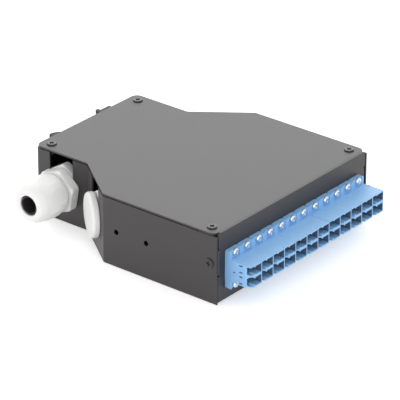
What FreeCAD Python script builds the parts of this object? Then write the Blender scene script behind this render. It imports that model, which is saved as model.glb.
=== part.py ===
import FreeCAD, Part
import math
import os
from FreeCAD import Placement, Rotation, Vector

# Fibre splice box for a 35 mm DIN rail, in millimetres.
# Frame: +X right, +Y to the back, +Z up. The origin is in the middle of the flat bottom.

# Enclosure, folded from steel sheet
FRONT_WIDTH = 127.2
BACK_WIDTH = 83.0
DEPTH = 141.0
SIDE_LENGTH = 75.3
SLANT_DEPTH = 29.7
HEIGHT = 40.1
SHEET = 1.0
BEND_RADIUS = 2.6
FLOOR_EDGE_RADIUS = 0.8
COVER_CORNER_RADIUS = 4.0
COVER_GAP = 0.5
COVER_TO_PANEL = 0.1
SLANT_INSET = 0.9
COVER_TAB_BEND = 1.6

# Front panel
PANEL_BOTTOM = 1.7
PANEL_GAP = 0.3
PANEL_GAP_ABOVE_TAB = 0.7
PANEL_CORNER = 2.0
PANEL_BEND = 1.4
TAB_BOTTOM = 16.4
TAB_TOP = 30.6
TAB_DEPTH = 12.0
TAB_RELIEF = 0.8
TAB_TO_WALL = 0.2

# M3 screws of the housing
M3_SHANK = 2.9
M3_THREAD_HOLE = 3.0
M3_CLEAR_HOLE = 3.4
M3_HEAD = 5.4
M3_HEAD_HEIGHT = 0.7
M3_LENGTH = 6.0
M3_RECESS = (2.8, 0.9, 0.65)
SCREW_TIP_ROUND = 0.4
SCREW_RIM_ROUND = 0.25
SCREW_DOME = 0.62
THREAD_COLLAR = 5.2
THREAD_COLLAR_HEIGHT = 1.5
COVER_SCREW_FRONT = (57.8, 7.5)
COVER_SCREW_BACK = (35.5, 134.7)
COVER_TAB_WIDTH = 10.4
COVER_TAB_REACH = 11.5
PANEL_SCREW_DEPTH = 4.7
PANEL_SCREW_HEIGHT = 22.8

# Spare fixing holes in the left wall, set back from the front face
WALL_HOLE = 3.0
WALL_HOLE_DEPTHS = (46.3, 66.3)
WALL_HOLE_HEIGHT = 20.5

# LC duplex adapters, two stacked ports each
ADAPTER_COUNT = 12
ADAPTER_PITCH = 9.42
ADAPTER_CENTRE_HEIGHT = 18.1
ADAPTERS_LEFT_OF_SEAM = 7
SEAM = 0.25
ADAPTER_WIDTH = 9.38
BARREL_HEIGHT = 12.3
BARREL_FRONT = 16.4
BARREL_REAR = 14.3
BARREL_ROUND = 0.1
LATCH_CHAMFER = (2.8, 3.4)
FLANGE_HEIGHT = 21.6
FLANGE_THICKNESS = 3.3
FLANGE_CORNER = 1.0
SCREW_PAD_WIDTH = 6.6
SCREW_PAD_DEPTH = 0.6
SCREW_SPACING = 18.0
PORT_PITCH = 6.25
PORT_HALF_WIDTH = 4.12
POCKET_ROUND = 0.3
PLUG_HALF_HEIGHT = 2.35
LATCH_HALF_HEIGHT = 2.6
LATCH_CORNER = 0.8
RIDGE_TIP = (-1.0, 1.65)
RIDGE_RIGHT = -0.5
RIDGE_LEFT = -1.9
RIDGE_DEPTH = 3.6
MID_WALL = 1.6
SLEEVE_X = 1.8
SLEEVE_OUTER = 1.62
SLEEVE_INNER = 1.25
SLEEVE_LENGTH = 6.8
SLEEVE_PLAY = 0.05
HOLDER_OUTER = 2.9
HOLDER_BORE = 1.68
HOLDER_LIP_BORE = 1.4
HOLDER_HALF_LENGTH = 4.0
SLIT_LENGTH = 2.2
SLIT_HEIGHT = 0.8
SLIT_FRONT = 11.2
SLIT_OFFSET = 1.85
MID_SLIT_LENGTH = 1.6
MID_SLIT_FRONT = 6.6
NIB = (0.7, 0.3, 1.0)
NIB_FRONT = 7.8
NIB_INSET = 0.1
WINDOW_MARGIN = 0.2

# M2 screws and nuts of the adapters
M2_SHANK = 1.9
M2_CLEAR_HOLE = 2.2
M2_HEAD = 4.2
M2_HEAD_HEIGHT = 1.4
M2_LENGTH = 7.0
M2_RECESS = (2.3, 0.6, 0.8)
M2_NUT_FLATS = 4.0
M2_NUT_HEIGHT = 1.6
M2_NUT_BORE = 1.96

# M16 cable entries: gland in the back side wall, blanking plug in the slanted wall
ENTRY_HEIGHT = 19.6
PLUG_HEIGHT = 19.2
PLUG_SHIFT = 0.5
ENTRY_SLOT = 16.2
GLAND_DEPTH = 123.0
ENTRY_THREAD = 15.8
ENTRY_THREAD_LENGTH = 11.0
THREAD_ROUND = 0.8
HEX_ROUND = 0.9
LOCK_NUT_FLATS = 24.0
LOCK_NUT_HEIGHT = 5.0
LOCK_NUT_BORE = 16.1
LOCK_NUT_TURN = 0.0
GLAND_HEX_FLATS = 22.8
GLAND_HEX_HEIGHT = 5.3
GLAND_HEX_TURN = -11.0
GLAND_HEX_TRIM = 0.4
GLAND_HEX_ROOT_ROUND = 0.5
CAP_THREAD = 17.6
CAP_THREAD_END = 13.4
CLAW_OUTER = 16.6
CLAW_INNER = 13.6
CLAW_END = 20.7
CLAW_COUNT = 8
CLAW_SLOT = 1.0
CLAW_ROOT = 0.5
CLAW_ROUND = 0.8
GLAND_BORE = 11.4
SEAL_SEAT = 10.9
SEAL_OUTER = 13.0
SEAL_BORE = 9.2
SEAL_LENGTH = 9.3
SEAL_NOSE = 10.8
SEAL_NOSE_START = 21.6
SEAL_NOSE_END = 26.1
SEAL_ROUND = 0.3
CAP_CLEARANCE = 0.3
CAP_START = 7.2
CAP_END = 26.8
CAP_RADIUS = 11.9
CAP_COLLAR_RADIUS = 11.2
CAP_COLLAR_END = 9.0
CAP_SHOULDER = 15.2
CAP_WAIST = (10.6, 23.6)
CAP_SHOULDER_ROUND = 5.0
CAP_WAIST_ROUND = 4.0
CAP_NOSE_ROUND = 1.8
CAP_HOLE_ROUND = 0.5
CAP_RIM_ROUND = 0.3
CAP_FUNNEL = 1.8
CAP_NOSE_RADIUS = 8.9
CAP_HOLE = 11.4
CAP_FLATS = 22.4
CAP_TURN = 19.0
PLUG_HEAD = 24.6
PLUG_HEAD_HEIGHT = 4.0
PLUG_HEAD_ROUND = 1.6
PLUG_RIM_ROUND = 0.5
PLUG_BORE = 12.5

# DIN rail clip on the back wall, for a 35 mm top-hat rail that runs along Z
RAIL_WIDTH = 35.0
RAIL_SLOT = 1.5
CLIP_WIDTH = 33.8
CLIP_BASE = 2.2
CLIP_LEFT = -24.0
CLIP_RIGHT = 33.0
CLIP_CORNER = 2.0
HOOK_PLAY = 0.3
HOOK_OVERLAP = 1.7
HOOK_BEVEL = (0.6, 1.8)
HOOK_TIP_ROUND = 0.4
HOOK_BACK_ROUND = 0.8
CLIP_EDGE_ROUND = 0.2
FIXED_HOOK_LEFT = -22.7
FIXED_HOOK_REACH = 7.3
FIXED_HOOK_BEVEL = (4.0, 2.2)
LATCH_HOOK_THICKNESS = 2.8
LATCH_HOOK_REACH = 8.2
LATCH_TIP_LENGTH = 2.6
LATCH_SIDE_END = 25.7
LATCH_SIDE_REACH = 6.1
LATCH_BODY_WIDTH = 24.0
LATCH_BODY_REACH = 6.9
LATCH_BODY_END = 31.8
LATCH_TRAVEL = 2.6
PULL_END = 38.0
PULL_WIDTH = 14.0
PULL_REACH = 7.6
PULL_ROOT = 1.0
PULL_SLOT = (2.0, 5.4)
SLIDE_CLEARANCE = 0.3
GUIDE_START = 26.2
GUIDE_STEM = 5.0
GUIDE_STEM_HEIGHT = 1.6
GUIDE_HEAD = 10.0
GUIDE_HEAD_HEIGHT = 1.7
STOP = (1.0, 1.0, 3.0)
STOP_START = 29.4
SPRING_OUTER = 1.9
SPRING_WIRE = 0.3
SPRING_TURNS = 7
SPRING_PLAY = 0.05
CLIP_SCREW_X = 8.0
CLIP_SCREW_HEAD = 5.6
CLIP_SCREW_HEAD_HEIGHT = 1.6
CLIP_SCREW_RIM = 0.1
CLIP_SCREW_LENGTH = 7.0

# Fittings inside the box
SPLICE_WIDTH = 38.0
SPLICE_LENGTH = 46.0
SPLICE_BASE = 1.2
SPLICE_HEIGHT = 8.0
SPLICE_GROOVES = 6
SPLICE_PITCH = 5.8
SPLICE_GROOVE = 3.0
SPLICE_COMB = 9.0
SPLICE_COMB_INSET = 3.0
SPLICE_GAP = 1.0
SPLICE_CENTRE_Y = 12.0
CLIP_POINTS = ((-50.0, -30.0), (50.0, -30.0), (33.0, 52.0), (2.0, 58.0))
FIBRE_CLIP_BASE = 11.0
FIBRE_CLIP_FOOT = 1.2
FIBRE_CLIP_OUTER = 10.0
FIBRE_CLIP_INNER = 7.6
FIBRE_CLIP_LENGTH = 6.0
FIBRE_CLIP_GAP = 2.0
FIBRE_CLIP_SINK = 0.5
SADDLE_X = -17.0
SADDLE_LENGTH = 16.0
SADDLE_WIDTH = 18.0
SADDLE_HEIGHT = 9.0
SADDLE_CRADLE = 6.0
SADDLE_CRADLE_LIFT = 2.0
SADDLE_TUNNEL = (6.0, 2.4)
SADDLE_TUNNEL_FLOOR = 1.2

# Places worked out from the sizes above
FRONT = -DEPTH / 2
BACK = DEPTH / 2
COVER_BOTTOM = HEIGHT - SHEET
WALL_TOP = COVER_BOTTOM - COVER_GAP
PANEL_BACK = FRONT + SHEET
COVER_FRONT = PANEL_BACK + COVER_TO_PANEL
TRAY_FRONT = PANEL_BACK + PANEL_GAP
SLANT_START = FRONT + SIDE_LENGTH
SLANT_END = SLANT_START + SLANT_DEPTH
HALF_FRONT = FRONT_WIDTH / 2
HALF_BACK = BACK_WIDTH / 2
MID_HEIGHT = HEIGHT / 2
GLAND_Y = FRONT + GLAND_DEPTH
SLANT_MIDDLE = Vector(-(HALF_FRONT + HALF_BACK) / 2, (SLANT_START + SLANT_END) / 2, PLUG_HEIGHT)
SLANT_NORMAL = Vector(-SLANT_DEPTH, HALF_FRONT - HALF_BACK, 0).normalize()
PLUG_PLACE = SLANT_MIDDLE + Vector(-SLANT_NORMAL.y, SLANT_NORMAL.x, 0) * PLUG_SHIFT
RAIL_HALF = RAIL_WIDTH / 2
CLIP_LOW = MID_HEIGHT - CLIP_WIDTH / 2
CLIP_FACE = BACK + CLIP_BASE

os.makedirs("parts", exist_ok=True)


def box(x0, x1, y0, y1, z0, z1):
    """Block between two corners."""
    return Part.makeBox(x1 - x0, y1 - y0, z1 - z0, Vector(x0, y0, z0))


def rod(radius, z0, z1, x=0.0, y=0.0):
    """Round bar along Z."""
    return Part.makeCylinder(radius, z1 - z0, Vector(x, y, z0))


def outline(points, radii):
    """Closed flat wire through the points, with each corner rounded by its own radius."""
    corners = []
    for i, point in enumerate(points):
        here = Vector(point[0], point[1], 0)
        to_last = (Vector(*points[i - 1], 0) - here).normalize()
        to_next = (Vector(*points[(i + 1) % len(points)], 0) - here).normalize()
        if radii[i] == 0:
            corners.append((here, None, here))
            continue
        half = to_last.getAngle(to_next) / 2
        middle = (to_last + to_next).normalize()
        run = radii[i] / math.tan(half)
        tip = here + middle * (radii[i] / math.sin(half) - radii[i])
        corners.append((here + to_last * run, tip, here + to_next * run))
    edges = []
    for i, (start, tip, end) in enumerate(corners):
        if tip is not None:
            edges.append(Part.Arc(start, tip, end).toShape())
        following = corners[(i + 1) % len(corners)][0]
        if end.distanceToPoint(following) > 1e-6:
            edges.append(Part.LineSegment(end, following).toShape())
    return Part.Wire(edges)


def slab(points, radii, z0, z1):
    """Plate with a rounded outline, from z0 to z1."""
    plate = Part.Face(outline(points, radii)).extrude(Vector(0, 0, z1 - z0))
    plate.translate(Vector(0, 0, z0))
    return plate


def rectangle(width, height):
    """Corner points of a centred rectangle."""
    x = width / 2
    y = height / 2
    return [(-x, -y), (x, -y), (x, y), (-x, y)]


def lathe(points, radii):
    """Body turned about Z from a half profile of (radius, height) points."""
    profile = Part.Face(outline(points, radii))
    profile.rotate(Vector(), Vector(1, 0, 0), 90)
    return profile.revolve(Vector(), Vector(0, 0, 1), 360)


def hexagon(flats, z0, z1, turn=0.0):
    """Six-sided bar along Z."""
    reach = flats / 2 / math.cos(math.pi / 6)
    angles = [math.radians(turn + 60 * i) for i in range(6)]
    points = [(reach * math.cos(a), reach * math.sin(a)) for a in angles]
    return slab(points, [0] * 6, z0, z1)


def seated(shape, point, outward):
    """Copy of a piece drawn along +Z, stood on a point with +Z turned outward."""
    piece = shape.copy()
    piece.Placement = Placement(Vector(*point), Rotation(Vector(0, 0, 1), Vector(*outward)))
    return piece


def facing_front(shape):
    """Copy of a piece drawn with Y up and Z towards the viewer, turned to face -Y."""
    piece = shape.copy()
    piece.rotate(Vector(), Vector(1, 0, 0), 90)
    return piece


def facing_left(shape):
    """Copy of a piece drawn along +Z with X up, turned to point along -X."""
    piece = shape.copy()
    piece.rotate(Vector(), Vector(0, 1, 0), -90)
    return piece


def on_gland_axis(shape):
    """Copy of an entry piece, stood on the left back wall and pointing left."""
    piece = facing_left(shape)
    piece.translate(Vector(-HALF_BACK, GLAND_Y, ENTRY_HEIGHT))
    return piece


def on_slant_axis(shape):
    """Copy of an entry piece, stood on the left slanted wall."""
    piece = facing_left(shape)
    piece.rotate(Vector(), Vector(0, 0, 1), math.degrees(math.atan2(-SLANT_NORMAL.y, -SLANT_NORMAL.x)))
    piece.translate(PLUG_PLACE)
    return piece


def fused(shapes):
    """One clean solid from touching shapes."""
    return shapes[0].multiFuse(shapes[1:]).removeSplitter()


def export(name, shape):
    """Write one named piece, or a group of like pieces."""
    shape.exportStep(f"parts/{name}.step")


def pan_screw(head, head_height, shank, length, recess):
    """Pan-head screw along -Z, seated at z = 0, with a cross recess."""
    r = head / 2
    s = shank / 2
    points = [(0, -length), (s, -length), (s, 0), (r, 0), (r, head_height), (0, head_height)]
    body = lathe(points, [0, SCREW_TIP_ROUND, 0, SCREW_RIM_ROUND, head_height * SCREW_DOME, 0])
    arm, width, depth = recess
    bottom = head_height - depth
    body = body.cut(box(-arm / 2, arm / 2, -width / 2, width / 2, bottom, head_height))
    return body.cut(box(-width / 2, width / 2, -arm / 2, arm / 2, bottom, head_height))


def plan_points(inset, front):
    """Box plan moved inwards by an inset, from the front left corner clockwise."""
    run = math.hypot(SLANT_DEPTH, HALF_FRONT - HALF_BACK)
    shift = inset * (run - SLANT_DEPTH) / (HALF_FRONT - HALF_BACK)
    wide = HALF_FRONT - inset
    narrow = HALF_BACK - inset
    right = [(narrow, BACK - inset), (narrow, SLANT_END - shift),
             (wide, SLANT_START - shift), (wide, front)]
    left = [(-x, y) for x, y in reversed(right)]
    return left + right


def cover_tab(point, outward):
    """Bent tab with a threaded collar that takes one cover screw, drawn on a wall's outer face."""
    width = COVER_TAB_WIDTH
    drop = COVER_BOTTOM - SHEET * 2
    reach = COVER_TAB_REACH
    profile = [(0, drop), (0, COVER_BOTTOM), (reach, COVER_BOTTOM), (reach, COVER_BOTTOM - SHEET),
               (SHEET, COVER_BOTTOM - SHEET), (SHEET, drop)]
    bend = COVER_TAB_BEND
    tab = slab(profile, [0, bend, 0, 0, bend - SHEET, 0], -width / 2, width / 2)
    tab.rotate(Vector(), Vector(1, 0, 0), 90)
    tab.rotate(Vector(), Vector(0, 0, 1), math.degrees(math.atan2(-outward[1], -outward[0])))
    tab.translate(Vector(point[0], point[1], 0))
    return tab


def cover_screw_points():
    """Plan places of the four cover screws."""
    front = [(side * COVER_SCREW_FRONT[0], FRONT + COVER_SCREW_FRONT[1]) for side in (-1, 1)]
    back = [(side * COVER_SCREW_BACK[0], FRONT + COVER_SCREW_BACK[1]) for side in (-1, 1)]
    return front + back


def entry_slot():
    """Open-topped slot for a cable entry, drawn along Z with X up, centred on the entry."""
    reach = SHEET * 4
    head = HEIGHT - min(ENTRY_HEIGHT, PLUG_HEIGHT)
    round_end = rod(ENTRY_SLOT / 2, -reach, reach)
    return round_end.fuse(box(0, head, -ENTRY_SLOT / 2, ENTRY_SLOT / 2, -reach, reach))


def base_tray():
    """Folded tray: floor, side, slanted and back walls, cover tabs, and the two entry slots."""
    bends = [0] + [BEND_RADIUS] * 6 + [0]
    inner_bends = [0] + [BEND_RADIUS - SHEET] * 6 + [0]
    outer = slab(plan_points(0, FRONT), bends, 0, WALL_TOP)
    floor_edges = [e for e in outer.Edges if e.BoundBox.ZMax < 0.01 and e.BoundBox.YMax > FRONT + 0.01]
    outer = outer.makeFillet(FLOOR_EDGE_RADIUS, floor_edges)
    inner = slab(plan_points(SHEET, FRONT), inner_bends, SHEET, HEIGHT)
    between_walls = HALF_FRONT - SHEET
    tray = outer.cut(inner).cut(box(-between_walls, between_walls, FRONT, TRAY_FRONT, 0, SHEET))
    tab_y = TRAY_FRONT + PANEL_GAP_ABOVE_TAB + COVER_TAB_WIDTH / 2
    tab_x = HALF_BACK - BEND_RADIUS - COVER_TAB_WIDTH / 2
    seats = [((-HALF_FRONT, tab_y), (-1, 0)), ((HALF_FRONT, tab_y), (1, 0)),
             ((-tab_x, BACK), (0, 1)), ((tab_x, BACK), (0, 1))]
    for point, outward in seats:
        tab = cover_tab(point, outward)
        room = tab.BoundBox
        tray = tray.cut(box(room.XMin, room.XMax, room.YMin, room.YMax, room.ZMin, HEIGHT)).fuse(tab)
    for x, y in cover_screw_points():
        under_tab = COVER_BOTTOM - SHEET
        tray = tray.fuse(rod(THREAD_COLLAR / 2, under_tab - THREAD_COLLAR_HEIGHT, under_tab, x, y))
        tray = tray.cut(rod(M3_THREAD_HOLE / 2, under_tab - THREAD_COLLAR_HEIGHT, COVER_BOTTOM, x, y))
    for side in (-1, 1):
        collar = rod(THREAD_COLLAR / 2, 0, SHEET + THREAD_COLLAR_HEIGHT)
        inwards = (side * CLIP_SCREW_X, BACK, MID_HEIGHT)
        tray = tray.fuse(seated(collar, inwards, (0, -1, 0)))
        hole = rod(M3_THREAD_HOLE / 2, 0, SHEET + THREAD_COLLAR_HEIGHT)
        tray = tray.cut(seated(hole, inwards, (0, -1, 0)))
        screw_hole = rod(M3_CLEAR_HOLE / 2, -SHEET, 0)
        spot = (side * HALF_FRONT, FRONT + PANEL_SCREW_DEPTH, PANEL_SCREW_HEIGHT)
        tray = tray.cut(seated(screw_hole, spot, (side, 0, 0)))
    for depth in WALL_HOLE_DEPTHS:
        hole = rod(WALL_HOLE / 2, -SHEET, 0)
        tray = tray.cut(seated(hole, (-HALF_FRONT, FRONT + depth, WALL_HOLE_HEIGHT), (-1, 0, 0)))
    slot = entry_slot()
    return tray.cut(on_gland_axis(slot)).cut(on_slant_axis(slot)).removeSplitter()


def top_cover():
    """Flat cover plate with four screw holes."""
    points = plan_points(0, COVER_FRONT)
    inset = plan_points(SLANT_INSET, COVER_FRONT)
    for i in (1, 2, 5, 6):
        points[i] = (points[i][0], inset[i][1])
    corner = COVER_CORNER_RADIUS
    plate = slab(points, [corner, 0, 0, corner, corner, 0, 0, corner], COVER_BOTTOM, HEIGHT)
    for x, y in cover_screw_points():
        plate = plate.cut(rod(M3_CLEAR_HOLE / 2, COVER_BOTTOM, HEIGHT, x, y))
    return plate


def adapter_places():
    """Middle of each adapter along X, with the wider seam between two of them."""
    first = -(ADAPTER_COUNT - 1) / 2 * ADAPTER_PITCH
    shift = [-SEAM / 2 if i < ADAPTERS_LEFT_OF_SEAM else SEAM / 2 for i in range(ADAPTER_COUNT)]
    return [first + i * ADAPTER_PITCH + shift[i] for i in range(ADAPTER_COUNT)]


def adapter_screw_points():
    """Places of the adapter screws on the panel's front face."""
    return [(x, FRONT, ADAPTER_CENTRE_HEIGHT + side * SCREW_SPACING / 2)
            for x in adapter_places() for side in (-1, 1)]


def panel_tab(side):
    """Tab bent back from the panel's end, inside the side wall, with a threaded collar."""
    outer = HALF_FRONT - SHEET - TAB_TO_WALL
    inner = outer - SHEET
    root = outer - PANEL_BEND
    profile = [(root, FRONT), (outer, FRONT), (outer, FRONT + TAB_DEPTH),
               (inner, FRONT + TAB_DEPTH), (inner, PANEL_BACK), (root, PANEL_BACK)]
    tab = slab(profile, [0, PANEL_BEND, 0, 0, PANEL_BEND - SHEET, 0], TAB_BOTTOM, TAB_TOP)
    spot = (inner, FRONT + PANEL_SCREW_DEPTH, PANEL_SCREW_HEIGHT)
    tab = tab.fuse(seated(rod(THREAD_COLLAR / 2, 0, THREAD_COLLAR_HEIGHT), spot, (-1, 0, 0)))
    tab = tab.cut(seated(rod(M3_THREAD_HOLE / 2, -SHEET, THREAD_COLLAR_HEIGHT), spot, (-1, 0, 0)))
    return tab if side > 0 else tab.mirror(Vector(), Vector(1, 0, 0))


def front_panel():
    """Front plate between the side walls, with the adapter window and a bent tab at each end."""
    wide = HALF_FRONT - SHEET - PANEL_GAP
    narrow = HALF_FRONT - SHEET - PANEL_GAP_ABOVE_TAB
    right = [(wide, PANEL_BOTTOM), (wide, TAB_TOP), (narrow, TAB_TOP), (narrow, HEIGHT)]
    left = [(-x, z) for x, z in reversed(right)]
    plate = slab(right + left, [0, 0, 0, PANEL_CORNER, PANEL_CORNER, 0, 0, 0], -SHEET, 0)
    plate = facing_front(plate)
    plate.translate(Vector(0, FRONT, 0))
    root = HALF_FRONT - SHEET - TAB_TO_WALL - PANEL_BEND
    for side in (-1, 1):
        ends = sorted((side * root, side * HALF_FRONT))
        plate = plate.cut(box(*ends, FRONT, PANEL_BACK, TAB_BOTTOM - TAB_RELIEF, TAB_TOP + TAB_RELIEF))
        plate = plate.fuse(panel_tab(side))
    half_window = ADAPTER_COUNT * ADAPTER_PITCH / 2 + WINDOW_MARGIN
    low = ADAPTER_CENTRE_HEIGHT - BARREL_HEIGHT / 2 - WINDOW_MARGIN
    high = ADAPTER_CENTRE_HEIGHT + BARREL_HEIGHT / 2 + WINDOW_MARGIN
    plate = plate.cut(box(-half_window, half_window, FRONT, PANEL_BACK, low, high))
    for point in adapter_screw_points():
        plate = plate.cut(seated(rod(M2_CLEAR_HOLE / 2, -SHEET, 0), point, (0, -1, 0)))
    return plate.removeSplitter()


def cover_screws():
    """Four pan screws through the cover into the tray's tabs."""
    screw = pan_screw(M3_HEAD, M3_HEAD_HEIGHT, M3_SHANK, M3_LENGTH, M3_RECESS)
    return Part.Compound([seated(screw, (x, y, HEIGHT), (0, 0, 1)) for x, y in cover_screw_points()])


def panel_screws():
    """Two pan screws through the side walls into the panel's tabs."""
    screw = pan_screw(M3_HEAD, M3_HEAD_HEIGHT, M3_SHANK, M3_LENGTH, M3_RECESS)
    y = FRONT + PANEL_SCREW_DEPTH
    return Part.Compound([seated(screw, (side * HALF_FRONT, y, PANEL_SCREW_HEIGHT), (side, 0, 0))
                          for side in (-1, 1)])


def port_mouth():
    """Outline of one port's mouth: plug half, latch half, and the two latch ridges between them."""
    half = PORT_HALF_WIDTH
    latch = LATCH_HALF_HEIGHT
    upper = [(half, PLUG_HALF_HEIGHT), (RIDGE_RIGHT, PLUG_HALF_HEIGHT), RIDGE_TIP, (RIDGE_LEFT, latch),
             (LATCH_CORNER - half, latch), (-half, latch - LATCH_CORNER)]
    return upper + [(x, -y) for x, y in reversed(upper)]


def port_pocket():
    """Space of one port from its mouth to the middle wall, drawn with its mouth at z = 0."""
    depth = (BARREL_FRONT + BARREL_REAR - MID_WALL) / 2
    points = port_mouth()
    mouth = slab(points, [0] * len(points), -RIDGE_DEPTH, 0)
    room = rectangle(PORT_HALF_WIDTH * 2, LATCH_HALF_HEIGHT * 2)
    back = slab(room, [POCKET_ROUND] * 4, -depth, -RIDGE_DEPTH)
    return mouth.fuse(back)


def sleeve_holder():
    """Two-ended tube that holds one alignment sleeve, centred on z = 0."""
    half = HOLDER_HALF_LENGTH
    return rod(HOLDER_OUTER / 2, -half, half, SLEEVE_X)


def holder_bore():
    """Stepped bore of a sleeve holder, with a lip at each end that keeps the sleeve in."""
    room = SLEEVE_LENGTH / 2 + SLEEVE_PLAY
    wide = rod(HOLDER_BORE / 2, -room, room, SLEEVE_X)
    return wide.fuse(rod(HOLDER_LIP_BORE / 2, -HOLDER_HALF_LENGTH, HOLDER_HALF_LENGTH, SLEEVE_X))


def side_slit(y, front, length):
    """Thin slit through the adapter's left wall."""
    half = SLIT_HEIGHT / 2
    return box(-ADAPTER_WIDTH / 2, -PORT_HALF_WIDTH, y - half, y + half, front - length, front)


def lc_adapter():
    """Moulded duplex adapter drawn with Y up and Z to the front, its flange's back at z = 0.

    The latch side's front edge is cut off at a slant below the top wall, so that a plug's latch can be reached.
    """
    flange = slab(rectangle(ADAPTER_WIDTH, FLANGE_HEIGHT), [FLANGE_CORNER] * 4, 0, FLANGE_THICKNESS)
    barrel = slab(rectangle(ADAPTER_WIDTH, BARREL_HEIGHT), [BARREL_ROUND] * 4, -BARREL_REAR, BARREL_FRONT)
    left = -ADAPTER_WIDTH / 2
    top = BARREL_HEIGHT / 2
    nib_wide, nib_high, nib_long = NIB
    nib = box(-left - nib_wide, -left - NIB_INSET, top, top + nib_high, NIB_FRONT - nib_long, NIB_FRONT)
    body = fused([flange, barrel, nib])
    across, along = LATCH_CHAMFER
    corner = [(left, BARREL_FRONT - along), (left + across, BARREL_FRONT), (left, BARREL_FRONT)]
    ceiling = PORT_PITCH / 2 + LATCH_HALF_HEIGHT
    wedge = facing_front(slab(corner, [0] * 3, -ceiling, top))
    body = body.cut(wedge)
    pad = FLANGE_THICKNESS - SCREW_PAD_DEPTH
    half_pad = SCREW_PAD_WIDTH / 2
    for side in (-1, 1):
        ends = sorted((side * top, side * FLANGE_HEIGHT / 2))
        body = body.cut(box(-half_pad, half_pad, *ends, pad, FLANGE_THICKNESS))
        body = body.cut(rod(M2_CLEAR_HOLE / 2, 0, pad, 0, side * SCREW_SPACING / 2))
    middle = (BARREL_FRONT - BARREL_REAR) / 2
    for side in (-1, 1):
        y = side * PORT_PITCH / 2
        front = port_pocket()
        front.translate(Vector(0, y, BARREL_FRONT))
        rear = port_pocket().mirror(Vector(), Vector(0, 0, 1))
        rear.translate(Vector(0, y, -BARREL_REAR))
        holder = sleeve_holder()
        holder.translate(Vector(0, y, middle))
        bore = holder_bore()
        bore.translate(Vector(0, y, middle))
        body = body.cut(front.cut(holder)).cut(rear.cut(holder)).cut(bore)
        for offset in (-SLIT_OFFSET, SLIT_OFFSET):
            body = body.cut(side_slit(y + offset, SLIT_FRONT, SLIT_LENGTH))
    return body.cut(side_slit(0, MID_SLIT_FRONT, MID_SLIT_LENGTH)).removeSplitter()


def sleeve_pair():
    """Two zirconia sleeves of one adapter, drawn as the adapter is."""
    middle = (BARREL_FRONT - BARREL_REAR) / 2
    sleeves = []
    for side in (-1, 1):
        ends = (middle - SLEEVE_LENGTH / 2, middle + SLEEVE_LENGTH / 2)
        y = side * PORT_PITCH / 2
        tube = rod(SLEEVE_OUTER / 2, *ends, SLEEVE_X, y).cut(rod(SLEEVE_INNER / 2, *ends, SLEEVE_X, y))
        sleeves.append(tube)
    return Part.Compound(sleeves)


def adapter_screws():
    """Bright pan screws, two in each adapter's flange."""
    screw = pan_screw(M2_HEAD, M2_HEAD_HEIGHT, M2_SHANK, M2_LENGTH, M2_RECESS)
    lift = Vector(0, SCREW_PAD_DEPTH - FLANGE_THICKNESS, 0)
    return Part.Compound([seated(screw, Vector(*point) + lift, (0, -1, 0))
                          for point in adapter_screw_points()])


def adapter_nuts():
    """Hexagon nuts on the adapter screws, behind the panel."""
    nut = hexagon(M2_NUT_FLATS, 0, M2_NUT_HEIGHT).cut(rod(M2_NUT_BORE / 2, 0, M2_NUT_HEIGHT))
    return Part.Compound([seated(nut, Vector(*point) + Vector(0, SHEET, 0), (0, 1, 0))
                          for point in adapter_screw_points()])


def gland_body():
    """Gland body drawn outwards along +Z from the wall: thread, hexagon, cap thread and claws."""
    t = ENTRY_THREAD / 2
    c = CAP_THREAD / 2
    claw = CLAW_OUTER / 2
    seat = CLAW_INNER / 2
    bore = GLAND_BORE / 2
    hexagon_end = GLAND_HEX_HEIGHT
    thread_end = -ENTRY_THREAD_LENGTH
    points = [(bore, thread_end), (t, thread_end), (t, hexagon_end / 2), (c, hexagon_end / 2),
              (c, CAP_THREAD_END), (claw, CAP_THREAD_END), (claw, CLAW_END), (seat, CLAW_END),
              (seat, SEAL_SEAT), (bore, SEAL_SEAT)]
    stem = lathe(points, [0, THREAD_ROUND, 0, 0, 0, 0, CLAW_ROUND, 0, 0, 0])
    edge = GLAND_HEX_FLATS / 2 / math.cos(math.pi / 6) - GLAND_HEX_TRIM
    trim = lathe([(t, 0), (edge, 0), (edge, hexagon_end), (t, hexagon_end)],
                 [0, GLAND_HEX_ROOT_ROUND, HEX_ROUND, 0])
    collar = hexagon(GLAND_HEX_FLATS, 0, hexagon_end, GLAND_HEX_TURN).common(trim)
    body = fused([stem, collar])
    half = CLAW_SLOT / 2
    for i in range(CLAW_COUNT):
        slot = box(bore, c, -half, half, CAP_THREAD_END + CLAW_ROOT, CLAW_END)
        slot.rotate(Vector(), Vector(0, 0, 1), 360 / CLAW_COUNT * i)
        body = body.cut(slot)
    return body


def gland_seal():
    """Rubber seal that sits in the claws, with a nose that reaches into the cap's mouth."""
    low = SEAL_SEAT + CAP_CLEARANCE
    shoulder = low + SEAL_LENGTH
    bore = SEAL_BORE / 2
    points = [(bore, low), (SEAL_OUTER / 2, low), (SEAL_OUTER / 2, shoulder),
              (SEAL_NOSE / 2, SEAL_NOSE_START), (SEAL_NOSE / 2, SEAL_NOSE_END), (bore, SEAL_NOSE_END)]
    return lathe(points, [SEAL_ROUND] * 6)


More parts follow.
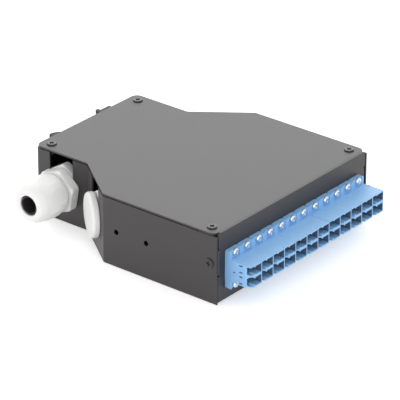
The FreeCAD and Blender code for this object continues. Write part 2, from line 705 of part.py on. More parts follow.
def gland_cap_nut():
    """Dome nut with a round collar, six flats and a round nose, hollow for the claws."""
    thread = CAP_THREAD / 2 + CAP_CLEARANCE
    claw = CLAW_OUTER / 2 + CAP_CLEARANCE
    step = CAP_THREAD_END + CAP_CLEARANCE
    roof = CLAW_END + CAP_CLEARANCE
    hole = CAP_HOLE / 2
    points = [(thread, CAP_START), (CAP_COLLAR_RADIUS, CAP_START), (CAP_COLLAR_RADIUS, CAP_COLLAR_END),
              (CAP_RADIUS, CAP_COLLAR_END + CAP_RIM_ROUND), (CAP_RADIUS, CAP_SHOULDER), CAP_WAIST,
              (CAP_NOSE_RADIUS, CAP_END), (hole, CAP_END), (hole, roof + CAP_FUNNEL), (claw, roof),
              (claw, step), (thread, step)]
    dome = lathe(points, [0, CAP_RIM_ROUND, 0, CAP_RIM_ROUND, CAP_SHOULDER_ROUND, CAP_WAIST_ROUND,
                          CAP_NOSE_ROUND, CAP_HOLE_ROUND, 0, 0, 0, 0])
    flats = hexagon(CAP_FLATS, CAP_COLLAR_END, CAP_END, CAP_TURN)
    collar = rod(CAP_RADIUS, CAP_START, CAP_COLLAR_END)
    return dome.common(flats.fuse(collar))


def lock_nut():
    """Hexagon lock nut drawn against the wall's inner face, below z = 0."""
    top = -SHEET
    bottom = top - LOCK_NUT_HEIGHT
    corner = LOCK_NUT_FLATS / 2 / math.cos(math.pi / 6)
    bore = LOCK_NUT_BORE / 2
    ring = lathe([(bore, bottom), (corner, bottom), (corner, top), (bore, top)],
                 [0, HEX_ROUND, HEX_ROUND, 0])
    return hexagon(LOCK_NUT_FLATS, bottom, top, LOCK_NUT_TURN).common(ring)


def blanking_plug():
    """Round-headed plug with a hollow threaded stem."""
    h = PLUG_HEAD / 2
    t = ENTRY_THREAD / 2
    b = PLUG_BORE / 2
    thread_end = -ENTRY_THREAD_LENGTH
    points = [(b, thread_end), (t, thread_end), (t, 0), (h, 0), (h, PLUG_HEAD_HEIGHT),
              (0, PLUG_HEAD_HEIGHT), (0, 0), (b, 0)]
    return lathe(points, [0, THREAD_ROUND, 0, PLUG_RIM_ROUND, PLUG_HEAD_ROUND, 0, 0, 0])


def din_bracket():
    """Moulded clip body: base plate, fixed hook, and the T-shaped guide of the latch."""
    low = CLIP_LOW
    high = CLIP_LOW + CLIP_WIDTH
    plate = slab([(CLIP_LEFT, low), (CLIP_RIGHT, low), (CLIP_RIGHT, high), (CLIP_LEFT, high)],
                 [CLIP_CORNER] * 4, 0, CLIP_BASE)
    plate = facing_front(plate)
    plate.translate(Vector(0, BACK + CLIP_BASE, 0))
    inner = -RAIL_HALF - HOOK_PLAY
    tip = inner + HOOK_OVERLAP
    reach = BACK + FIXED_HOOK_REACH
    lip = CLIP_FACE + RAIL_SLOT
    bevel, drop = FIXED_HOOK_BEVEL
    hook = slab([(FIXED_HOOK_LEFT, BACK), (FIXED_HOOK_LEFT, reach), (tip - bevel, reach), (tip, reach - drop),
                 (tip, lip), (inner, lip), (inner, BACK)],
                [0, HOOK_BACK_ROUND, HOOK_TIP_ROUND, HOOK_TIP_ROUND, CLIP_EDGE_ROUND, CLIP_EDGE_ROUND, 0],
                low, high)
    head_low = CLIP_FACE + GUIDE_STEM_HEIGHT
    head_high = head_low + GUIDE_HEAD_HEIGHT
    mid = MID_HEIGHT
    stem = box(GUIDE_START, CLIP_RIGHT, BACK, head_low, mid - GUIDE_STEM / 2, mid + GUIDE_STEM / 2)
    head = box(GUIDE_START, CLIP_RIGHT, head_low, head_high, mid - GUIDE_HEAD / 2, mid + GUIDE_HEAD / 2)
    stop_long, stop_high, stop_wide = STOP
    stop = box(STOP_START, STOP_START + stop_long, head_high, head_high + stop_high,
               mid - stop_wide / 2, mid + stop_wide / 2)
    bracket = fused([plate, hook, stem, head, stop])
    for side in (-1, 1):
        hole = rod(M3_CLEAR_HOLE / 2, -CLIP_BASE, 0)
        sink = Part.makeCone(M3_CLEAR_HOLE / 2, CLIP_SCREW_HEAD / 2 + CLIP_SCREW_RIM, CLIP_SCREW_HEAD_HEIGHT,
                             Vector(0, 0, -CLIP_SCREW_HEAD_HEIGHT))
        bracket = bracket.cut(seated(hole.fuse(sink), (side * CLIP_SCREW_X, CLIP_FACE, mid), (0, 1, 0)))
    return bracket


def din_latch():
    """Sliding latch: wide hook, narrower body with a T-shaped slot, stop window, and pull tab."""
    low = CLIP_LOW
    high = CLIP_LOW + CLIP_WIDTH
    under = CLIP_FACE + SLIDE_CLEARANCE
    inner = RAIL_HALF + HOOK_PLAY
    tip = inner - HOOK_OVERLAP
    lip = CLIP_FACE + RAIL_SLOT
    back = inner + LATCH_HOOK_THICKNESS
    reach = BACK + LATCH_HOOK_REACH
    body_top = BACK + LATCH_BODY_REACH
    side_top = BACK + LATCH_SIDE_REACH
    tip_back = tip + LATCH_TIP_LENGTH
    bevel, drop = HOOK_BEVEL
    shape = [(inner, under), (LATCH_SIDE_END, under), (LATCH_SIDE_END, side_top), (tip_back, side_top),
             (tip_back, reach), (tip + bevel, reach), (tip, reach - drop), (tip, lip), (inner, lip)]
    edge = CLIP_EDGE_ROUND
    hook = slab(shape, [0, edge, edge, edge, HOOK_BACK_ROUND, HOOK_TIP_ROUND, HOOK_TIP_ROUND, edge, edge],
                low, high)
    mid = MID_HEIGHT
    half_body = LATCH_BODY_WIDTH / 2
    body = box(tip_back, LATCH_BODY_END, under, body_top, mid - half_body, mid + half_body)
    half_pull = PULL_WIDTH / 2
    head_top = CLIP_FACE + GUIDE_STEM_HEIGHT + GUIDE_HEAD_HEIGHT
    roof = head_top + SLIDE_CLEARANCE
    root = LATCH_BODY_END - PULL_ROOT
    pull = slab([(root, roof), (PULL_END, roof), (PULL_END, BACK + PULL_REACH), (root, body_top)],
                [0, edge, edge, 0], mid - half_pull, mid + half_pull)
    latch = fused([hook, body, pull])
    half_stem = GUIDE_STEM / 2 + SLIDE_CLEARANCE
    half_head = GUIDE_HEAD / 2 + SLIDE_CLEARANCE
    neck = CLIP_FACE + GUIDE_STEM_HEIGHT - SLIDE_CLEARANCE
    latch = latch.cut(box(back, LATCH_BODY_END, under, neck, mid - half_stem, mid + half_stem))
    latch = latch.cut(box(back, LATCH_BODY_END, neck, roof, mid - half_head, mid + half_head))
    stop_long, stop_high, stop_wide = STOP
    window_start = STOP_START - LATCH_TRAVEL - SLIDE_CLEARANCE
    window_end = STOP_START + stop_long + SLIDE_CLEARANCE
    half_window = stop_wide / 2 + SLIDE_CLEARANCE
    latch = latch.cut(box(window_start, window_end, roof, body_top, mid - half_window, mid + half_window))
    slot_wide, slot_tall = PULL_SLOT
    slot_middle = (CLIP_RIGHT + PULL_END) / 2
    return latch.cut(box(slot_middle - slot_wide / 2, slot_middle + slot_wide / 2, roof, BACK + PULL_REACH,
                         mid - slot_tall / 2, mid + slot_tall / 2))


def din_spring():
    """Compression spring between the latch's hook and the end of its guide."""
    start = RAIL_HALF + HOOK_PLAY + LATCH_HOOK_THICKNESS
    length = GUIDE_START - start
    coil = SPRING_OUTER / 2 - SPRING_WIRE / 2
    rise = length - SPRING_WIRE - SPRING_PLAY * 2
    helix = Part.makeHelix(rise / SPRING_TURNS, rise, coil)
    ring = Part.Wire(Part.Circle(Vector(coil, 0, 0), Vector(0, 1, 0), SPRING_WIRE / 2).toShape())
    spring = Part.Wire(helix.Edges).makePipeShell([ring], True, True)
    neck = CLIP_FACE + GUIDE_STEM_HEIGHT - SLIDE_CLEARANCE
    roof = CLIP_FACE + GUIDE_STEM_HEIGHT + GUIDE_HEAD_HEIGHT + SLIDE_CLEARANCE
    first = start + SPRING_WIRE / 2 + SPRING_PLAY
    return seated(spring, (first, (neck + roof) / 2, MID_HEIGHT), (1, 0, 0))


def din_screws():
    """Two countersunk screws through the clip into the back wall."""
    r = CLIP_SCREW_HEAD / 2
    s = M3_SHANK / 2
    points = [(0, -CLIP_SCREW_LENGTH), (s, -CLIP_SCREW_LENGTH), (s, -CLIP_SCREW_HEAD_HEIGHT),
              (r, -CLIP_SCREW_RIM), (r, 0), (0, 0)]
    screw = lathe(points, [0, SCREW_TIP_ROUND, 0, 0, 0, 0])
    arm, width, depth = M3_RECESS
    screw = screw.cut(box(-arm / 2, arm / 2, -width / 2, width / 2, -depth, 0))
    screw = screw.cut(box(-width / 2, width / 2, -arm / 2, arm / 2, -depth, 0))
    return Part.Compound([seated(screw, (side * CLIP_SCREW_X, CLIP_FACE, MID_HEIGHT), (0, 1, 0))
                          for side in (-1, 1)])


def splice_holder(side):
    """Moulded holder with two combs of grooves for splice protectors, on the tray's floor."""
    middle = side * (SPLICE_WIDTH + SPLICE_GAP) / 2
    x0 = middle - SPLICE_WIDTH / 2
    x1 = middle + SPLICE_WIDTH / 2
    y0 = SPLICE_CENTRE_Y - SPLICE_LENGTH / 2
    y1 = SPLICE_CENTRE_Y + SPLICE_LENGTH / 2
    floor = SHEET
    top = floor + SPLICE_HEIGHT
    parts = [box(x0, x1, y0, y1, floor, floor + SPLICE_BASE)]
    for comb in (y0 + SPLICE_COMB_INSET, y1 - SPLICE_COMB_INSET - SPLICE_COMB):
        parts.append(box(x0, x1, comb, comb + SPLICE_COMB, floor, top))
    holder = fused(parts)
    first = middle - (SPLICE_GROOVES - 1) / 2 * SPLICE_PITCH
    for i in range(SPLICE_GROOVES):
        x = first + i * SPLICE_PITCH
        half = SPLICE_GROOVE / 2
        holder = holder.cut(box(x - half, x + half, y0, y1, floor + SPLICE_BASE, top))
    return holder


def fibre_clip(x, y):
    """Open ring on a foot that keeps fibres in a loop."""
    half = FIBRE_CLIP_BASE / 2
    floor = SHEET
    foot = box(x - half, x + half, y - half, y + half, floor, floor + FIBRE_CLIP_FOOT)
    outer = FIBRE_CLIP_OUTER / 2
    level = floor + FIBRE_CLIP_FOOT + outer - FIBRE_CLIP_SINK
    ring = rod(outer, 0, FIBRE_CLIP_LENGTH).cut(rod(FIBRE_CLIP_INNER / 2, 0, FIBRE_CLIP_LENGTH))
    ring = seated(ring, (x, y - FIBRE_CLIP_LENGTH / 2, level), (0, 1, 0))
    half_gap = FIBRE_CLIP_GAP / 2
    gap = box(x - half_gap, x + half_gap, y - half, y + half, level, level + outer)
    return fused([foot, ring]).cut(gap)


def cable_saddle():
    """Cradle on the floor in line with the gland, with a tunnel for a cable tie."""
    x0 = SADDLE_X - SADDLE_LENGTH / 2
    x1 = SADDLE_X + SADDLE_LENGTH / 2
    half = SADDLE_WIDTH / 2
    floor = SHEET
    block = box(x0, x1, GLAND_Y - half, GLAND_Y + half, floor, floor + SADDLE_HEIGHT)
    axis = (x0, GLAND_Y, floor + SADDLE_HEIGHT + SADDLE_CRADLE_LIFT)
    cradle = seated(rod(SADDLE_CRADLE, 0, SADDLE_LENGTH), axis, (1, 0, 0))
    wide, tall = SADDLE_TUNNEL
    low = floor + SADDLE_TUNNEL_FLOOR
    tunnel = box(SADDLE_X - wide / 2, SADDLE_X + wide / 2, GLAND_Y - half, GLAND_Y + half, low, low + tall)
    return block.cut(cradle).cut(tunnel)


export("base_tray", base_tray())
export("top_cover", top_cover())
export("front_panel", front_panel())
export("cover_screws", cover_screws())
export("panel_screws", panel_screws())

adapter = facing_front(lc_adapter())
sleeves = facing_front(sleeve_pair())
for number, place in enumerate(adapter_places(), 1):
    spot = Vector(place, FRONT, ADAPTER_CENTRE_HEIGHT)
    export(f"lc_adapter_{number:02d}", adapter.translated(spot))
    export(f"sleeve_pair_{number:02d}", sleeves.translated(spot))
export("adapter_screws", adapter_screws())
export("adapter_nuts", adapter_nuts())

export("gland_body", on_gland_axis(gland_body()))
export("gland_seal", on_gland_axis(gland_seal()))
export("gland_cap_nut", on_gland_axis(gland_cap_nut()))
export("gland_lock_nut", on_gland_axis(lock_nut()))
export("blanking_plug", on_slant_axis(blanking_plug()))
export("plug_lock_nut", on_slant_axis(lock_nut()))

export("din_bracket", din_bracket())
export("din_latch", din_latch())
export("din_spring", din_spring())
export("din_screws", din_screws())

export("splice_holder_left", splice_holder(-1))
export("splice_holder_right", splice_holder(1))
for number, (x, y) in enumerate(CLIP_POINTS, 1):
    export(f"fibre_clip_{number}", fibre_clip(x, y))
export("cable_saddle", cable_saddle())
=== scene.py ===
import math

import bmesh
import bpy
from mathutils import Matrix, Vector


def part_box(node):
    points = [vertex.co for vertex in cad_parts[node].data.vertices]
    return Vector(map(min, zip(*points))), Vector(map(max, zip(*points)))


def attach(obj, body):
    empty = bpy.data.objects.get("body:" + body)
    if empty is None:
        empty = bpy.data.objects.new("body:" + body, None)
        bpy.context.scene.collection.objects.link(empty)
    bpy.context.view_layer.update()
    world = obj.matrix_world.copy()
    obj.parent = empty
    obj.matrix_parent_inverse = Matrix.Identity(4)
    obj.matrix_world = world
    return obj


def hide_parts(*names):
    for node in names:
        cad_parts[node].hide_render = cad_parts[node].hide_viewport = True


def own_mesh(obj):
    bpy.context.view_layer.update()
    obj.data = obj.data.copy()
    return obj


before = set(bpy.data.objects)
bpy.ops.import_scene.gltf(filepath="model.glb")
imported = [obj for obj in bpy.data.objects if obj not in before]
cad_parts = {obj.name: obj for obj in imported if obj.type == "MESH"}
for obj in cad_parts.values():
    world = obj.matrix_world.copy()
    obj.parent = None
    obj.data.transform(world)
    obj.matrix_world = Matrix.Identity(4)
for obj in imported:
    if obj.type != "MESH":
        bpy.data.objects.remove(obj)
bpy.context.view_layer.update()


# Base tray
# One sheet of 1 mm steel, cut flat and folded up into the floor and every wall but the front.
# Black powder coat covers it all and leaves each cut edge slightly round.

MM = 0.001
COAT_EDGE = 0.14 * MM
COAT_CLOUD = 30 * MM
PEEL_SIZE = 0.7 * MM
PEEL_DEPTH = 0.012 * MM
SAME_POINT = 0.001 * MM
SAME_PLANE = math.radians(0.5)
SHARP_EDGE = math.radians(30)
SMOOTH_BELOW = math.radians(40)


def linear(code):
    """Scene-linear colour of an sRGB hex code, with full alpha."""
    shares = [int(code[i:i + 2], 16) / 255 for i in (1, 3, 5)]
    return [s / 12.92 if s <= 0.04045 else ((s + 0.055) / 1.055) ** 2.4 for s in shares] + [1.0]


def add(tree, kind, settings=None, links=None):
    """One more shader node, with its fields and sockets set and other nodes' outputs linked to it."""
    node = tree.nodes.new(kind)
    for key, value in (settings or {}).items():
        if isinstance(key, int) or key in node.inputs:
            node.inputs[key].default_value = value
        else:
            setattr(node, key, value)
    for key, output in (links or {}).items():
        tree.links.new(output, node.inputs[key])
    return node


def new_finish(name, settings):
    """Material with a plain surface shader, its node tree, that shader, and the piece's own coordinates."""
    material = bpy.data.materials.new(name)
    material.use_nodes = True
    tree = material.node_tree
    surface = tree.nodes["Principled BSDF"]
    for key, value in settings.items():
        surface.inputs[key].default_value = value
    place = add(tree, "ShaderNodeTexCoord").outputs["Object"]
    return material, tree, surface, place


def cloud_colour(tree, place, size, dark, light):
    """Slow drift between two close colours, in clouds of a given size."""
    cloud = add(tree, "ShaderNodeTexNoise", {"Scale": 1 / size, "Detail": 3.0}, {"Vector": place})
    mix = add(tree, "ShaderNodeMix", {"data_type": "RGBA", 6: linear(dark), 7: linear(light)},
              {"Factor": cloud.outputs["Fac"]})
    return mix.outputs[2]


def grain_bump(tree, surface, place, size, depth):
    """Fine random relief of a given grain size and depth."""
    grain = add(tree, "ShaderNodeTexNoise", {"Scale": 1 / size, "Detail": 2.0}, {"Vector": place})
    bump = add(tree, "ShaderNodeBump", {"Strength": 1.0, "Distance": depth}, {"Height": grain.outputs["Fac"]})
    tree.links.new(bump.outputs["Normal"], surface.inputs["Normal"])
    return grain.outputs["Fac"]


def powder_coat():
    """Black polyester powder, sprayed and baked: fine orange peel and a broad satin gloss."""
    material, tree, surface, place = new_finish("black_powder_coat", {"IOR": 1.58})
    colour = cloud_colour(tree, place, COAT_CLOUD, "#262223", "#2B2728")
    tree.links.new(colour, surface.inputs["Base Color"])
    peel = grain_bump(tree, surface, place, PEEL_SIZE, PEEL_DEPTH)
    gloss = add(tree, "ShaderNodeMapRange", {"To Min": 0.40, "To Max": 0.50}, {"Value": peel})
    tree.links.new(gloss.outputs["Result"], surface.inputs["Roughness"])
    return material


def rounded_copy(node, radius, segments=2):
    """Copy of a solid's mesh with whole flat faces, and with its sharp edges rounded."""
    bm = bmesh.new()
    bm.from_mesh(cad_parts[node].data)
    bmesh.ops.remove_doubles(bm, verts=bm.verts, dist=SAME_POINT)
    bmesh.ops.dissolve_limit(bm, angle_limit=SAME_PLANE, verts=bm.verts, edges=bm.edges)
    sharp = [e for e in bm.edges if e.is_manifold and e.calc_face_angle() > SHARP_EDGE]
    bmesh.ops.bevel(bm, geom=sharp, offset=radius, offset_type="OFFSET", affect="EDGES",
                    segments=segments, profile=0.5, material=-1, clamp_overlap=True)
    return bm


def make_piece(name, bm, material, slot, body, *nodes):
    """Finished piece from a bmesh, smooth across its rounded edges, in place of solids of the frame."""
    mesh = bpy.data.meshes.new(name)
    bm.to_mesh(mesh)
    bm.free()
    mesh.shade_smooth()
    mesh.set_sharp_from_angle(angle=SMOOTH_BELOW)
    mesh.materials.append(material)
    piece = bpy.data.objects.new(name, mesh)
    bpy.context.scene.collection.objects.link(piece)
    even = piece.modifiers.new("Even shading", "WEIGHTED_NORMAL")
    even.keep_sharp = True
    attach(piece, body)
    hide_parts(*nodes)
    return piece


coat = powder_coat()
make_piece("tray_shell", rounded_copy("base_tray", COAT_EDGE), coat, "black_coat", "housing", "base_tray")


# Fittings on the tray's floor
# Two comb-shaped splice holders moulded in grey ABS, four open fibre clips in natural nylon,
# and a black nylon cradle where the cable's sheath is tied down. All are stuck to the floor.

FIBRE_CLIPS = 4
MOULD_EDGE = 0.25 * MM
FLOW_CLOUD = 12 * MM
GRAIN_DEPTH = 0.02


def moulded(name, dark, light, settings, grain):
    """Moulded or pressed material: a fine grain, and a colour that drifts a little with the flow."""
    # The real grain is under 0.1 mm. It is drawn about three times as coarse, or it would not show.
    material, tree, surface, place = new_finish(name, settings)
    tree.links.new(cloud_colour(tree, place, FLOW_CLOUD, dark, light), surface.inputs["Base Color"])
    grain_bump(tree, surface, place, grain, grain * GRAIN_DEPTH)
    return material


# ABS is an even, half-dull grey. Natural nylon is milky with a soft gloss, and black nylon is dull.
grey_abs = moulded("grey_abs", "#9EA1A3", "#A6A9AB", {"Roughness": 0.5, "IOR": 1.53}, grain=0.25 * MM)
natural_nylon = moulded("natural_nylon", "#D9DADA", "#E2E3E3", {"Roughness": 0.35, "IOR": 1.53},
                        grain=0.3 * MM)
black_nylon = moulded("black_nylon", "#1F1F20", "#252526", {"Roughness": 0.6, "IOR": 1.45}, grain=0.3 * MM)

for side in ("left", "right"):
    node = f"splice_holder_{side}"
    make_piece(f"splice_comb_{side}", rounded_copy(node, MOULD_EDGE), grey_abs, "grey_plastic",
               "housing", node)
for number in range(1, FIBRE_CLIPS + 1):
    node = f"fibre_clip_{number}"
    make_piece(f"fibre_ring_{number}", rounded_copy(node, MOULD_EDGE), natural_nylon, "clear_plastic",
               "housing", node)
make_piece("cable_cradle", rounded_copy("cable_saddle", MOULD_EDGE), black_nylon, "black_nylon",
           "housing", "cable_saddle")


# Front panel
# A steel plate with one long window, and a tab bent back at each end for the side screws.
# It has the same black coat as the tray.

make_piece("panel_plate", rounded_copy("front_panel", COAT_EDGE), coat, "black_coat",
           "housing", "front_panel")


# Duplex adapters
# Twelve light blue PBT mouldings side by side, each with two stacked ports and a flange with two screw pads.
# They go through the window from the front. The port walls are painted a darker slate blue, as painted shade
# deep in the ports.

ADAPTER_COUNT = 12
ADAPTER_EDGE = 0.14 * MM
PORT_ROOM = Vector((4.2, 14.9, 5.8)) * MM
LATCH_CUT_DEPTH = 4.0 * MM
FACES_FRONT = -0.3
FACES_UP = 0.5


def mark_port_shade(bm, low, high):
    """Put the side and top faces inside the ports of one adapter on its second material, the painted shade of
    the ports.
    """
    middle = (low + high) / 2
    for face in bm.faces:
        spot = face.calc_center_median() - middle
        inside = all(abs(s) < room for s, room in zip(spot, PORT_ROOM))
        on_latch_cut = face.normal.y < FACES_FRONT and spot.y < low.y - middle.y + LATCH_CUT_DEPTH
        if inside and not on_latch_cut and face.normal.z < FACES_UP:
            face.material_index = 1


# PBT moulds to a satin surface with an even, opaque colour.
blue_pbt = moulded("blue_pbt", "#8ABDEC", "#90C2F1", {"Roughness": 0.45, "IOR": 1.55}, grain=0.3 * MM)
# The port walls' darker slate blue is painted shade inside the ports, not a second colour of plastic.
port_shade_pbt = moulded("port_shade_pbt", "#4E5E75", "#54647B", {"Roughness": 0.5, "IOR": 1.55}, grain=0.3 * MM)
first_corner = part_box("lc_adapter_01")[0]
for number in range(1, ADAPTER_COUNT + 1):
    node = f"lc_adapter_{number:02d}"
    bm = rounded_copy("lc_adapter_01", ADAPTER_EDGE)
    mark_port_shade(bm, *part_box("lc_adapter_01"))
    bmesh.ops.translate(bm, verts=bm.verts, vec=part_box(node)[0] - first_corner)
    adapter = make_piece(f"duplex_adapter_{number:02d}", bm, blue_pbt, "blue_plastic", "housing", node)
    # The second material paints the shade on the port walls.
    adapter.data.materials.append(port_shade_pbt)


# Alignment sleeves
# Two polished zirconia tubes in each adapter, slit from end to end so that they spring on to the
# ferrules. They lie loose in the adapter's holders.

SLEEVE_WALL = 0.185 * MM
SLEEVE_SLIT = math.radians(24)
SLEEVE_STEPS = 40


def split_sleeve(bm, axis_x, axis_z, low, high, radius):
    """Tube along Y with a slit, from a wall section turned round the tube's axis."""
    corners = [(axis_x + r, y, axis_z) for r, y in
               ((radius - SLEEVE_WALL, low), (radius, low), (radius, high), (radius - SLEEVE_WALL, high))]
    section = bm.faces.new([bm.verts.new(c) for c in corners])
    bmesh.ops.spin(bm, geom=[section], cent=(axis_x, 0, axis_z), axis=(0, 1, 0),
                   angle=2 * math.pi - SLEEVE_SLIT, steps=SLEEVE_STEPS, use_merge=False)


# Polished zirconia is ivory white and very glossy, because its index is high.
zirconia = moulded("zirconia", "#EFEDE6", "#F3F1EA", {"Roughness": 0.12, "IOR": 2.1}, grain=0.3 * MM)
for number in range(1, ADAPTER_COUNT + 1):
    node = f"sleeve_pair_{number:02d}"
    low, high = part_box(node)
    radius = (high.x - low.x) / 2
    bm = bmesh.new()
    for level in (low.z + radius, high.z - radius):
        split_sleeve(bm, (low.x + high.x) / 2, level, low.y, high.y, radius)
    bmesh.ops.recalc_face_normals(bm, faces=bm.faces)
    make_piece(f"split_sleeves_{number:02d}", bm, zirconia, "zirconia", "housing", node)


# Adapter screws and nuts
# Small pan-head screws of bright zinc-plated steel, two in each flange, with hexagon nuts behind
# the panel. The plating is bright and slightly blue.

SCREW_EDGE = 0.06 * MM
PLATING_CLOUD = 3 * MM


def plated(name, dark, light, settings):
    """Plated steel: metal with faint cloudy dulling in its polish."""
    material, tree, surface, place = new_finish(name, settings)
    tree.links.new(cloud_colour(tree, place, PLATING_CLOUD, dark, light), surface.inputs["Base Color"])
    return material


bright_zinc = plated("bright_zinc", "#D9DEE3", "#EEF1F4", {"Metallic": 1.0, "Roughness": 0.26})
make_piece("flange_screws", rounded_copy("adapter_screws", SCREW_EDGE), bright_zinc, "zinc_screw",
           "housing", "adapter_screws")
make_piece("flange_nuts", rounded_copy("adapter_nuts", SCREW_EDGE), bright_zinc, "zinc_screw",
           "housing", "adapter_nuts")


# Side screws of the panel
# Two M3 pan-head screws with a cross recess, blackened zinc on steel, through the tray's side walls
# into the panel's tabs.

# Black passivated zinc is a deep grey with only a trace of metal in its shine.
black_zinc = plated("black_zinc", "#333233", "#3D3C3D", {"Metallic": 0.2, "Roughness": 0.3})
make_piece("side_screws", rounded_copy("panel_screws", SCREW_EDGE), black_zinc, "black_screw",
           "housing", "panel_screws")


# Cable gland
# An M16 gland of white nylon in an open slot of the left wall: body with hexagon and claws, lock nut
# inside the wall, rubber seal, and a domed cap nut that squeezes the claws on the cable.

GLAND_EDGE = 0.3 * MM

# Light goes about a millimetre into white nylon, which softens its shading. Rubber is a dull warm black.
white_nylon = moulded("white_nylon", "#ECECEB", "#F2F2F1",
                      {"Roughness": 0.5, "IOR": 1.4, "Subsurface Weight": 0.8, "Subsurface Radius": (1, 1, 1),
                       "Subsurface Scale": 1.0 * MM}, grain=0.35 * MM)
seal_rubber = moulded("seal_rubber", "#262123", "#2D282A", {"Roughness": 0.6, "IOR": 1.52}, grain=0.3 * MM)

make_piece("gland_stem", rounded_copy("gland_body", GLAND_EDGE), white_nylon, "white_nylon",
           "housing", "gland_body")
make_piece("gland_nut", rounded_copy("gland_lock_nut", GLAND_EDGE), white_nylon, "white_nylon",
           "housing", "gland_lock_nut")
make_piece("gland_gasket", rounded_copy("gland_seal", GLAND_EDGE), seal_rubber, "seal_rubber",
           "gland_seal", "gland_seal")
make_piece("gland_dome", rounded_copy("gland_cap_nut", GLAND_EDGE), white_nylon, "white_nylon",
           "gland_cap", "gland_cap_nut")


# Blanking plug
# A white nylon plug with a round head that closes the spare entry in the slanted wall, held by a
# lock nut inside.

make_piece("plug_head", rounded_copy("blanking_plug", GLAND_EDGE), white_nylon, "white_nylon",
           "housing", "blanking_plug")
make_piece("plug_nut", rounded_copy("plug_lock_nut", GLAND_EDGE), white_nylon, "white_nylon",
           "housing", "plug_lock_nut")


# Rail clip
# Black nylon clip on the back wall: a base with a fixed hook and a T-shaped guide, and a latch with
# the second hook that slides on the guide. Two countersunk screws hold the base.

make_piece("clip_base", rounded_copy("din_bracket", MOULD_EDGE), black_nylon, "black_nylon",
           "housing", "din_bracket")
make_piece("clip_latch", rounded_copy("din_latch", MOULD_EDGE), black_nylon, "black_nylon",
           "rail_latch", "din_latch")
make_piece("clip_screws", rounded_copy("din_screws", SCREW_EDGE), black_zinc, "black_screw",
           "housing", "din_screws")


# Latch spring
# A compression spring of drawn steel wire between the latch's hook and the end of the guide. It
# shortens as the latch is pulled.

SPRING_TURNS = 7
STEPS_A_TURN = 28
SPRING_WIRE = 0.15 * MM
WIRE_SIDES = 10

# Drawn wire is grey with a clear metallic shine along each coil.
spring_steel = plated("spring_steel", "#A7A8AB", "#B9BABD", {"Metallic": 1.0, "Roughness": 0.3})
low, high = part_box("din_spring")
axis_y = (low.y + high.y) / 2
axis_z = (low.z + high.z) / 2
coil = (high.z - low.z) / 2 - SPRING_WIRE
rise = high.x - low.x - 2 * SPRING_WIRE
bm = bmesh.new()
bmesh.ops.create_circle(bm, cap_ends=True, segments=WIRE_SIDES, radius=SPRING_WIRE)
bmesh.ops.rotate(bm, verts=bm.verts, cent=(0, 0, 0), matrix=Matrix.Rotation(math.pi / 2, 3, "Y"))
bmesh.ops.rotate(bm, verts=bm.verts, cent=(0, 0, 0), matrix=Matrix.Rotation(math.pi / 2, 3, "Z"))
bmesh.ops.translate(bm, verts=bm.verts, vec=(low.x + SPRING_WIRE, axis_y, axis_z + coil))
bmesh.ops.spin(bm, geom=bm.faces[:], cent=(low.x + SPRING_WIRE, axis_y, axis_z), axis=(1, 0, 0),
               dvec=(rise / (SPRING_TURNS * STEPS_A_TURN), 0, 0), angle=2 * math.pi * SPRING_TURNS,
               steps=SPRING_TURNS * STEPS_A_TURN, use_merge=False)
bmesh.ops.recalc_face_normals(bm, faces=bm.faces)
spring = make_piece("latch_spring", bm, spring_steel, "spring_steel", "housing", "din_spring")
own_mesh(spring)


# Cover
# A flat steel plate with four screw holes that closes the tray. Same black coat, and four black M3
# pan-head screws.

make_piece("cover_plate", rounded_copy("top_cover", COAT_EDGE), coat, "black_coat", "housing", "top_cover")
make_piece("lid_screws", rounded_copy("cover_screws", SCREW_EDGE), black_zinc, "black_screw",
           "housing", "cover_screws")


# Floor
# A wide white table top under the box. It is seen a little whiter than it lights the box, so that
# only the contact shadow shows on it.

FLOOR_SIZE = 8.0
FLOOR_GLOW = 0.42
FLOOR_LEVEL = -0.05 * MM


def sight_ray(tree):
    """One for a ray that is seen, straight or mirrored or through a clear piece, and zero for stray light."""
    path = add(tree, "ShaderNodeLightPath")
    seen = add(tree, "ShaderNodeMath", {"operation": "MAXIMUM"},
               {0: path.outputs["Is Camera Ray"], 1: path.outputs["Is Glossy Ray"]})
    seen = add(tree, "ShaderNodeMath", {"operation": "MAXIMUM"},
               {0: seen.outputs["Value"], 1: path.outputs["Is Transmission Ray"]})
    return seen.outputs["Value"]


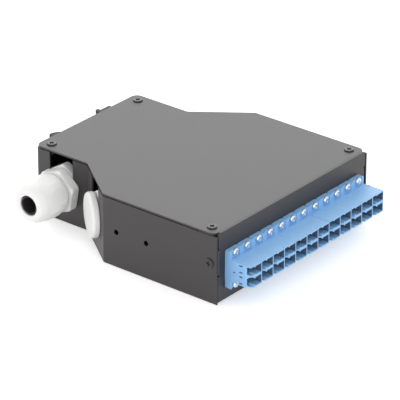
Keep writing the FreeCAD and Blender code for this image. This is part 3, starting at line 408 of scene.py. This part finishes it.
bm = bmesh.new()
bmesh.ops.create_grid(bm, x_segments=1, y_segments=1, size=FLOOR_SIZE / 2,
                      matrix=Matrix.Translation((0, 0, FLOOR_LEVEL)))
mesh = bpy.data.meshes.new("floor")
bm.to_mesh(mesh)
bm.free()
floor = bpy.data.objects.new("floor", mesh)
bpy.context.scene.collection.objects.link(floor)
white_paint, tree, surface, _ = new_finish(
    "white_paint", {"Base Color": linear("#F6F6F6"), "Roughness": 0.9, "Emission Color": linear("#FFFFFF")})
glow = add(tree, "ShaderNodeMath", {"operation": "MULTIPLY", 1: FLOOR_GLOW}, {0: sight_ray(tree)})
tree.links.new(glow.outputs["Value"], surface.inputs["Emission Strength"])
mesh.materials.append(white_paint)


# Light
# An even white room and three large soft lamps: one behind that the flat cover mirrors, one at the
# front left that models the white and blue pieces, and a weak one behind on the left.

ROOM_LEVEL = 0.84
LAMP_DISTANCE = 2.4

scene = bpy.context.scene
scene.view_settings.view_transform = "Standard"
world = bpy.data.worlds.new("white_room")
scene.world = world
world.use_nodes = True
tree = world.node_tree
room = add(tree, "ShaderNodeMapRange", {"To Min": ROOM_LEVEL, "To Max": 1.0}, {"Value": sight_ray(tree)})
tree.links.new(room.outputs["Result"], tree.nodes["Background"].inputs["Strength"])
tree.nodes["Background"].inputs["Color"].default_value = linear("#FFFFFF")


def soft_lamp(name, direction, size, radiance):
    """Square lamp that shines at the box from a direction, with a given brightness of its face."""
    lamp = bpy.data.lights.new(name, "AREA")
    lamp.shape = "SQUARE"
    lamp.size = size
    lamp.energy = radiance * math.pi * size ** 2
    lamp_object = bpy.data.objects.new(name, lamp)
    lamp_object.location = Vector(direction).normalized() * LAMP_DISTANCE
    lamp_object.rotation_euler = Vector(direction).to_track_quat("Z", "Y").to_euler()
    lamp_object.visible_camera = False
    scene.collection.objects.link(lamp_object)


soft_lamp("back_lamp", (0.70, 0.56, 0.50), size=2.2, radiance=1.78)
soft_lamp("left_lamp", (-0.68, -0.68, 0.28), size=1.8, radiance=1.3)
soft_lamp("rear_lamp", (-0.55, 0.80, 0.20), size=1.8, radiance=0.8)


# Camera
# A long lens from the front left and above, as the photograph has it.

VIEW_FORWARD = Vector((0.69551, 0.56341, -0.44591))
VIEW_FROM = Vector((-1.1742, -0.9595, 0.7686))
SENSOR = 36.0
FOCAL_RATIO = 7.972

lens = bpy.data.cameras.new("camera")
lens.sensor_width = SENSOR
lens.lens = SENSOR * FOCAL_RATIO
camera = bpy.data.objects.new("camera", lens)
camera.location = VIEW_FROM
camera.rotation_euler = VIEW_FORWARD.to_track_quat("-Z", "Y").to_euler()
scene.collection.objects.link(camera)
scene.camera = camera
